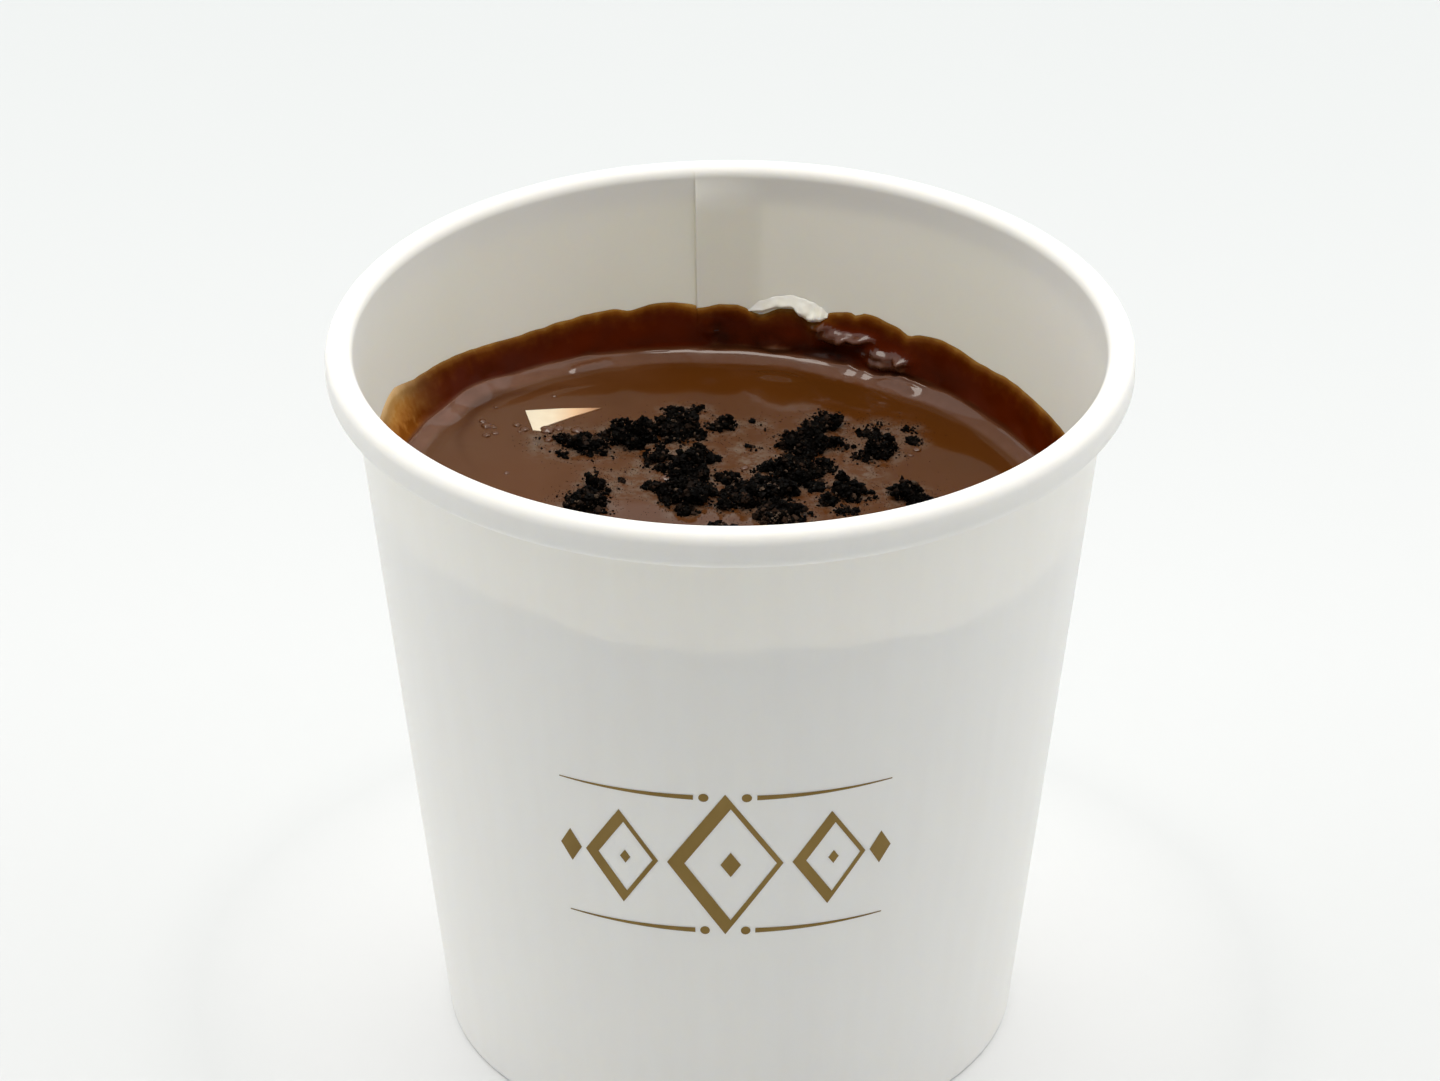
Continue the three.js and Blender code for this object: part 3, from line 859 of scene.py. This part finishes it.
# Small wet bubbles in the skin.
bubbles = [
    {"x": -28.3, "y": 17.7, "radius": 0.42}, {"x": -27.9, "y": 16.5, "radius": 0.6},
    {"x": -27.1, "y": 16.4, "radius": 0.45}, {"x": -26.8, "y": 14.9, "radius": 0.4},
    {"x": -27.8, "y": 14.2, "radius": 0.5}, {"x": -24.4, "y": 17.2, "radius": 0.5},
    {"x": -23.5, "y": 16.2, "radius": 0.55}, {"x": -24.0, "y": 15.6, "radius": 0.3},
    {"x": -17.5, "y": 16.6, "radius": 0.75}, {"x": -17.0, "y": 15.5, "radius": 0.5},
    {"x": -20.9, "y": 16.3, "radius": 0.85}, {"x": -19.6, "y": 16.9, "radius": 0.6},
    {"x": -20.7, "y": 13.9, "radius": 0.6}, {"x": -25.2, "y": 5.1, "radius": 0.32},
    {"x": -20.3, "y": 25.1, "radius": 0.3}, {"x": -26.9, "y": 21.5, "radius": 0.3},
    {"x": 21.4, "y": 16.4, "radius": 0.5}, {"x": 20.6, "y": 14.9, "radius": 0.36},
    {"x": 1.6, "y": 9.4, "radius": 0.5}, {"x": -7.3, "y": 5.8, "radius": 0.8},
]


def makeBubbles(material):
    bm = bmesh.new()
    for i, spot in enumerate(bubbles):
        made = bmesh.ops.create_icosphere(bm, subdivisions=3, radius=spot["radius"])
        centre = Vector((spot["x"], spot["y"], surfaceAt(spot["x"], spot["y"])))
        for vert in made["verts"]:
            vert.co *= 1 + 0.3 * noise.noise(vert.co * 2.5 + Vector((i, 0, 0)))
            vert.co.z *= 0.5
            vert.co += centre
    layers = {name: bm.verts.layers.float.new(name) for name in puddingLayers}
    for vert in bm.verts:
        vert[layers["pool"]] = 1.0
        # A little of the pool edge's painted highlight.
        vert[layers["ring"]] = 0.1
    finishPiece(bm, "skinBubbles", [material], sharpAngle=80)


ornament = {
    "middle": 39.7,         # height of its middle
    "shift": -0.5,
    "lift": 0.03,
    "wallBite": 0.05,
    "cut": 0.9,             # width of the strips that follow the wall
    "cuts": 24,             # on either side of the middle
    "ruleUp": 9.2,
    "ruleFrom": 3.4,
    "ruleTo": 18.4,
    "ruleHalf": (0.32, 0.06),
    "dotOut": 2.3,
    "dotRadius": 0.55,
}
lozenges = [
    {"u": 0.0, "wide": 6.4, "high": 9.7, "heavy": 1.7, "fine": 0.5, "core": 1.7},
    {"u": -11.6, "wide": 4.2, "high": 6.4, "heavy": 1.35, "fine": 0.45, "core": 0.9},
    {"u": 11.6, "wide": 4.2, "high": 6.4, "heavy": 1.35, "fine": 0.45, "core": 0.9},
]
seeds = [{"u": -17.6, "wide": 1.3, "high": 2.2}, {"u": 17.6, "wide": 1.3, "high": 2.2}]


def lozengeFace(bm, u, wide, high):
    made = bmesh.ops.create_circle(bm, cap_ends=True, segments=4, radius=1)
    for vert in made["verts"]:
        vert.co = Vector((u + vert.co.x * wide, vert.co.y * high, 0))
    return made["verts"][0].link_faces[0]


# A lozenge drawn like a pen stroke: heavy on two sides, fine on the other two.
def lozengeFrame(bm, item):
    face = lozengeFace(bm, item["u"], item["wide"], item["high"])
    even = (item["heavy"] + item["fine"]) / 2
    bmesh.ops.inset_region(bm, faces=[face], thickness=even, use_boundary=True, use_even_offset=True)
    lean = (item["heavy"] - item["fine"]) / 2
    for vert in face.verts:
        vert.co.x += lean
    bmesh.ops.delete(bm, geom=[face], context="FACES_ONLY")
    lozengeFace(bm, item["u"] + lean, item["core"] * 0.66, item["core"])


def taperedRule(bm, hand, v):
    made = bmesh.ops.create_grid(bm, x_segments=1, y_segments=1, size=0.5)
    for vert in made["verts"]:
        share = vert.co.x + 0.5
        u = hand * mix(ornament["ruleFrom"], ornament["ruleTo"], share)
        half = mix(*ornament["ruleHalf"], share)
        vert.co = Vector((u, v + 2 * half * vert.co.y, 0))


def ruleDot(bm, hand, v):
    made = bmesh.ops.create_circle(bm, cap_ends=True, segments=14, radius=ornament["dotRadius"])
    bmesh.ops.translate(bm, vec=(hand * ornament["dotOut"], v, 0), verts=made["verts"])


def makeOrnament(material):
    bm = bmesh.new()
    for item in lozenges:
        lozengeFrame(bm, item)
    for item in seeds:
        lozengeFace(bm, item["u"], item["wide"], item["high"])
    for v in (ornament["ruleUp"], -ornament["ruleUp"]):
        for hand in (-1, 1):
            taperedRule(bm, hand, v)
            ruleDot(bm, hand, v)
    for i in range(-ornament["cuts"], ornament["cuts"] + 1):
        geom = bm.verts[:] + bm.edges[:] + bm.faces[:]
        bmesh.ops.bisect_plane(bm, geom=geom, plane_co=(i * ornament["cut"], 0, 0), plane_no=(1, 0, 0))
    made = bmesh.ops.extrude_face_region(bm, geom=bm.faces[:], use_keep_orig=True)
    raised = {item for item in made["geom"] if isinstance(item, bmesh.types.BMVert)}
    middleRadius = wallOuter(ornament["middle"])
    for vert in bm.verts:
        z = ornament["middle"] + vert.co.y
        turn = (vert.co.x + ornament["shift"]) / middleRadius
        radius = wallOuter(z) + (ornament["lift"] if vert in raised else -ornament["wallBite"])
        vert.co = Vector((radius * math.sin(turn), -radius * math.cos(turn), z))
    bmesh.ops.recalc_face_normals(bm, faces=bm.faces)
    finishPiece(bm, "goldOrnament", [material])


def newMaterial(name):
    material = bpy.data.materials.new(name)
    material.use_nodes = True
    tree = material.node_tree
    shader = tree.nodes["Principled BSDF"]
    return material, tree, shader


def addNode(tree, kind, inputs=None, **settings):
    node = tree.nodes.new(kind)
    for key, value in settings.items():
        setattr(node, key, value)
    for key, value in (inputs or {}).items():
        if isinstance(value, bpy.types.NodeSocket):
            tree.links.new(value, node.inputs[key])
        else:
            node.inputs[key].default_value = value
    return node


def setSockets(shader, **values):
    for key, value in values.items():
        shader.inputs[key.replace("_", " ")].default_value = value


def objectPlace(tree, scale):
    place = addNode(tree, "ShaderNodeTexCoord").outputs["Object"]
    return addNode(tree, "ShaderNodeMapping", {"Vector": place, "Scale": scale}).outputs[0]


def noiseOf(tree, vector, scale, detail=3, roughness=0.5):
    made = addNode(tree, "ShaderNodeTexNoise",
                   {"Vector": vector, "Scale": scale, "Detail": detail, "Roughness": roughness})
    return made.outputs["Fac"]


def spread(tree, value, fromLow, fromHigh, toLow, toHigh):
    made = addNode(tree, "ShaderNodeMapRange", {
        "Value": value, "From Min": fromLow, "From Max": fromHigh, "To Min": toLow, "To Max": toHigh,
    })
    return made.outputs[0]


def product(tree, a, b, clamped=True):
    made = addNode(tree, "ShaderNodeMath", {0: a, 1: b}, operation="MULTIPLY", use_clamp=clamped)
    return made.outputs[0]


def mixColor(tree, share, a, b, blend="MIX"):
    made = addNode(tree, "ShaderNodeMix", data_type="RGBA", blend_type=blend)
    for name, value in (("Factor", share), ("A", a), ("B", b)):
        socket = next(s for s in made.inputs if s.name == name and s.enabled)
        if isinstance(value, bpy.types.NodeSocket):
            tree.links.new(value, socket)
        else:
            socket.default_value = value
    return next(s for s in made.outputs if s.enabled)


def attributeOf(tree, name):
    return addNode(tree, "ShaderNodeAttribute", attribute_name=name).outputs["Fac"]


def colorRamp(tree, value, stops):
    made = addNode(tree, "ShaderNodeValToRGB", {"Fac": value})
    ramp = made.color_ramp
    while len(ramp.elements) < len(stops):
        ramp.elements.new(0.5)
    for element, (place, color) in zip(ramp.elements, stops):
        element.position = place
        element.color = (*color, 1)
    return made.outputs["Color"]


def addBump(tree, shader, height, strength, distance):
    settings = {"Height": height, "Strength": strength, "Distance": distance}
    bump = addNode(tree, "ShaderNodeBump", settings)
    tree.links.new(bump.outputs[0], shader.inputs["Normal"])


def paperMaterial():
    material, tree, shader = newMaterial("whitePaper")
    fibres = noiseOf(tree, objectPlace(tree, (1, 1, 0.35)), 2600, 2, 0.6)
    streaks = noiseOf(tree, objectPlace(tree, (1, 1, 0.05)), 420, 2, 0.5)
    blotches = noiseOf(tree, objectPlace(tree, (1, 1, 0.5)), 60, 2, 0.5)
    outside = mixColor(tree, spread(tree, streaks, 0.3, 0.7, 0, 1),
                       (0.920, 0.900, 0.850, 1), (0.933, 0.914, 0.866, 1))
    inside = mixColor(tree, spread(tree, blotches, 0.3, 0.7, 0, 1),
                      (0.893, 0.893, 0.828, 1), (0.913, 0.908, 0.858, 1))
    # Painted shade: a darker line beside the lap's step, where its shadow lies, and a painted highlight,
    # a lighter stripe, on the cut edge next to it.
    seamShadeAndHighlight = colorRamp(tree, spread(tree, attributeOf(tree, "seamAway"), -1, 1, 0, 1), [
        (0.0, (0.98, 0.98, 0.98)), (0.30, (0.97, 0.97, 0.97)), (0.42, (0.88, 0.88, 0.86)),
        (0.49, (0.90, 0.89, 0.87)), (0.53, (1, 1, 1)), (0.64, (1, 1, 1)), (0.72, (0.98, 0.98, 0.98)),
    ])
    inside = mixColor(tree, 1.0, inside, seamShadeAndHighlight, "MULTIPLY")
    tint = mixColor(tree, attributeOf(tree, "inner"), outside, inside)
    tree.links.new(tint, shader.inputs["Base Color"])
    setSockets(shader, Roughness=0.5, Specular_IOR_Level=0.25, Subsurface_Weight=0.6,
               Subsurface_Radius=(1.0, 0.93, 0.78), Subsurface_Scale=0.0007)
    addBump(tree, shader, fibres, 0.12, 0.00004)
    return material


# The still pudding is glossy; the film that dried on the wall has less shine.
def puddingMaterial(name, roughness, shine):
    material, tree, shader = newMaterial(name)
    place = objectPlace(tree, (1, 1, 1))
    wander = spread(tree, noiseOf(tree, place, 700, 3), 0.3, 0.7, 0.7, 1.35)
    reach = product(tree, attributeOf(tree, "film"), wander, False)
    coat = colorRamp(tree, spread(tree, reach, 0.0, 2.2, 0, 1), [
        (0.0, (0.50, 0.36, 0.16)), (0.07, (0.33, 0.17, 0.038)), (0.19, (0.19, 0.066, 0.007)),
        (0.38, (0.120, 0.029, 0.0020)), (0.65, (0.088, 0.0135, 0.0006)), (1.0, (0.072, 0.0080, 0.0002)),
    ])
    streaks = noiseOf(tree, objectPlace(tree, (1, 1, 0.4)), 260, 3)
    coat = mixColor(tree, spread(tree, streaks, 0.35, 0.7, 0.0, 0.5), coat, (0.055, 0.006, 0.0002, 1))
    smear = colorRamp(tree, spread(tree, reach, 0.0, 4.6, 0, 1), [
        (0.0, (0.72, 0.50, 0.27)), (0.2, (0.54, 0.32, 0.115)), (0.45, (0.44, 0.20, 0.044)),
        (0.7, (0.34, 0.13, 0.022)), (1.0, (0.22, 0.065, 0.006)),
    ])
    coat = mixColor(tree, attributeOf(tree, "thin"), coat, smear)
    # Painted shade: the film is painted near black where the shade attribute says, most of all in the
    # hollows under its lumps.
    patches = spread(tree, noiseOf(tree, place, 500, 3), 0.35, 0.6, 0.65, 1)
    shade = product(tree, attributeOf(tree, "shade"), patches)
    coat = mixColor(tree, shade, coat, (0.020, 0.0032, 0.0003, 1))
    # Painted reflection: the still surface is painted lighter towards the left, for the white wall it
    # reflects there.
    along = addNode(tree, "ShaderNodeSeparateXYZ", {0: place}).outputs["X"]
    clouds = noiseOf(tree, place, 110, 3)
    cloudyAlong = addNode(tree, "ShaderNodeMath", {0: along, 1: clouds, 2: -0.002},
                          operation="MULTIPLY_ADD").outputs[0]
    wallReflectionShare = spread(tree, cloudyAlong, -0.005, -0.014, 0, 1)
    still = mixColor(tree, wallReflectionShare, (0.068, 0.0205, 0.0028, 1), (0.092, 0.037, 0.0145, 1))
    still = mixColor(tree, spread(tree, clouds, 0.35, 0.7, 0, 0.35), still, (0.085, 0.024, 0.0035, 1))
    # Painted highlight along the pool's edge, and a painted reflection of the dark film in the trough
    # inside it.
    mottle = spread(tree, noiseOf(tree, place, 380, 3), 0.3, 0.7, 0.6, 1.1)
    ring = product(tree, attributeOf(tree, "ring"), mottle)
    still = mixColor(tree, ring, still, (0.155, 0.066, 0.040, 1))
    still = mixColor(tree, attributeOf(tree, "trough"), still, (0.060, 0.017, 0.0022, 1))
    specks = spread(tree, noiseOf(tree, place, 650, 4, 0.7), 0.42, 0.62, 0.1, 0.85)
    dusty = product(tree, attributeOf(tree, "dust"), specks)
    still = mixColor(tree, dusty, still, (0.125, 0.086, 0.062, 1))
    tint = mixColor(tree, attributeOf(tree, "pool"), coat, still)
    tree.links.new(tint, shader.inputs["Base Color"])
    setSockets(shader, Roughness=roughness, IOR=1.45, Specular_IOR_Level=shine)
    return material


def crumbMaterial():
    material, tree, shader = newMaterial("cookieCrumb")
    tone = attributeOf(tree, "tone")
    grain = noiseOf(tree, objectPlace(tree, (1, 1, 1)), 1500, 3, 0.6)
    dark = colorRamp(tree, tone, [
        (0.0, (0.0008, 0.0007, 0.0006)), (0.70, (0.0020, 0.0014, 0.0010)), (0.82, (0.010, 0.006, 0.004)),
        (0.93, (0.040, 0.022, 0.014)), (1.0, (0.085, 0.058, 0.040)),
    ])
    tint = mixColor(tree, spread(tree, grain, 0.45, 0.75, 0, 0.5), dark, (0.0045, 0.0035, 0.0028, 1))
    tree.links.new(tint, shader.inputs["Base Color"])
    setSockets(shader, Roughness=0.25, Specular_IOR_Level=0.02)
    addBump(tree, shader, grain, 0.5, 0.0002)
    return material


# Painted light: a near-white finish for the bright patch of light on the wall.
def lightPatchMaterial():
    material, tree, shader = newMaterial("paintedLightFinish")
    mottle = noiseOf(tree, objectPlace(tree, (1, 1, 1)), 500, 3)
    tint = mixColor(tree, spread(tree, mottle, 0.35, 0.7, 0, 1),
                    (0.93, 0.89, 0.76, 1), (0.96, 0.94, 0.86, 1))
    tree.links.new(tint, shader.inputs["Base Color"])
    setSockets(shader, Roughness=0.3, Specular_IOR_Level=0.5, Subsurface_Weight=0.4,
               Subsurface_Radius=(1.0, 0.9, 0.7), Subsurface_Scale=0.0008)
    addBump(tree, shader, mottle, 0.2, 0.0002)
    return material


# Painted reflection: pale on the left, fading to brown on the right where the reflection ends.
def reflectionPatchMaterial():
    material, tree, shader = newMaterial("paintedReflectionFinish")
    fade = attributeOf(tree, "fade")
    mottle = noiseOf(tree, objectPlace(tree, (1, 1, 1)), 700, 2)
    tint = colorRamp(tree, fade, [
        (0.0, (0.74, 0.66, 0.51)), (0.35, (0.78, 0.68, 0.51)), (0.62, (0.74, 0.50, 0.30)),
        (0.85, (0.50, 0.27, 0.14)), (1.0, (0.20, 0.09, 0.035)),
    ])
    tint = mixColor(tree, spread(tree, mottle, 0.4, 0.7, 0, 0.2), tint, (0.6, 0.45, 0.3, 1))
    tree.links.new(tint, shader.inputs["Base Color"])
    setSockets(shader, Roughness=0.25, Specular_IOR_Level=0.4)
    return material


def goldMaterial():
    material, tree, shader = newMaterial("goldFoil")
    sheen = noiseOf(tree, objectPlace(tree, (1, 1, 0.3)), 200, 3)
    tint = mixColor(tree, spread(tree, sheen, 0.3, 0.7, 0, 1),
                    (0.19, 0.115, 0.022, 1), (0.25, 0.16, 0.042, 1))
    tree.links.new(tint, shader.inputs["Base Color"])
    setSockets(shader, Metallic=0.6, Roughness=0.42)
    return material


view = {
    "lens": 175,
    "place": (0, -0.68572, 0.44721),
    "tip": 60.513,          # degrees up from straight down
    "swing": 0.0945,
}
floorSize = 8.0
# Brightness of the studio by direction.
studio = {
    "side": (1.15, 1.155, 1.15),
    "front": (0.24, 0.24, 0.245),
    "above": (1.14, 1.12, 1.09),
    "panel": (7.0, 6.75, 6.3),
    "panelEdge": (0.945, 0.96),     # cosine from straight up where the panel starts and is full
}


def makeCamera():
    data = bpy.data.cameras.new("camera")
    data.lens = view["lens"]
    data.sensor_width = 36
    data.clip_start = 0.01
    data.clip_end = 50
    camera = bpy.data.objects.new("camera", data)
    camera.location = view["place"]
    camera.rotation_euler = (math.radians(view["tip"]), 0, math.radians(view["swing"]))
    scene.collection.objects.link(camera)
    scene.camera = camera


# The table's colour is painted darker towards the camera, out of the picture, and a little darker far
# behind: painted shade where the light on it falls off.
def makeFloor():
    bm = bmesh.new()
    bmesh.ops.create_circle(bm, cap_ends=True, segments=96, radius=floorSize)
    mesh = bpy.data.meshes.new("floor")
    bm.to_mesh(mesh)
    bm.free()
    floor = bpy.data.objects.new("floor", mesh)
    scene.collection.objects.link(floor)
    material, tree, shader = newMaterial("palePaperFloor")
    place = objectPlace(tree, (1, 1, 1))
    back = addNode(tree, "ShaderNodeSeparateXYZ", {0: place}).outputs["Y"]
    tint = colorRamp(tree, spread(tree, back, -0.4, 0.8, 0, 1), [
        (0.0, (0.33, 0.34, 0.345)), (0.15, (0.48, 0.495, 0.50)), (0.24, (0.61, 0.63, 0.645)),
        (0.40, (0.625, 0.645, 0.66)), (0.75, (0.55, 0.585, 0.60)), (1.0, (0.515, 0.545, 0.56)),
    ])
    away = addNode(tree, "ShaderNodeVectorMath", {0: place}, operation="LENGTH").outputs["Value"]
    # Painted light: the table is painted lighter close to the cup's foot, softening the cup's shadow
    # there.
    near = spread(tree, away, 0.062, 0.034, 0, 1)
    tint = mixColor(tree, near, tint, (0.84, 0.855, 0.87, 1))
    tree.links.new(tint, shader.inputs["Base Color"])
    setSockets(shader, Roughness=0.9, Specular_IOR_Level=0.1)
    mesh.materials.append(material)


def makeStudio():
    world = bpy.data.worlds.new("studio")
    scene.world = world
    world.use_nodes = True
    tree = world.node_tree
    way = addNode(tree, "ShaderNodeTexCoord").outputs["Generated"]
    parts = addNode(tree, "ShaderNodeSeparateXYZ", {0: way})
    front = spread(tree, parts.outputs["Y"], 0.0, -0.6, 0, 1)
    up = spread(tree, parts.outputs["Z"], 0.6, 0.9, 0, 1)
    panelStart, panelFull = studio["panelEdge"]
    panel = addNode(tree, "ShaderNodeMapRange", {
        "Value": parts.outputs["Z"], "From Min": panelStart, "From Max": panelFull,
    }, interpolation_type="SMOOTHSTEP").outputs[0]
    color = mixColor(tree, front, (*studio["side"], 1), (*studio["front"], 1))
    color = mixColor(tree, up, color, (*studio["above"], 1))
    color = mixColor(tree, panel, color, (*studio["panel"], 1))
    tree.links.new(color, tree.nodes["Background"].inputs["Color"])


scene.view_settings.view_transform = "Standard"
makeCamera()
makeFloor()
makeStudio()
print("stage ready")

paper = paperMaterial()
chocolate = puddingMaterial("chocolatePudding", 0.07, 0.16)
wetChocolate = puddingMaterial("wetChocolate", 0.1, 0.5)
driedChocolate = puddingMaterial("chocolateFilm", 0.2, 0.04)
crumb = crumbMaterial()
makeSidewall(paper)
makeBottom(paper)
makePudding([chocolate, wetChocolate, driedChocolate])
for kindName, kind in crumbKinds.items():
    makeCrumbs(kindName, kind, crumb)
makeLightPatch(lightPatchMaterial())
makeReflectionPatch(reflectionPatchMaterial())
makeBubbles(wetChocolate)
makeOrnament(goldMaterial())
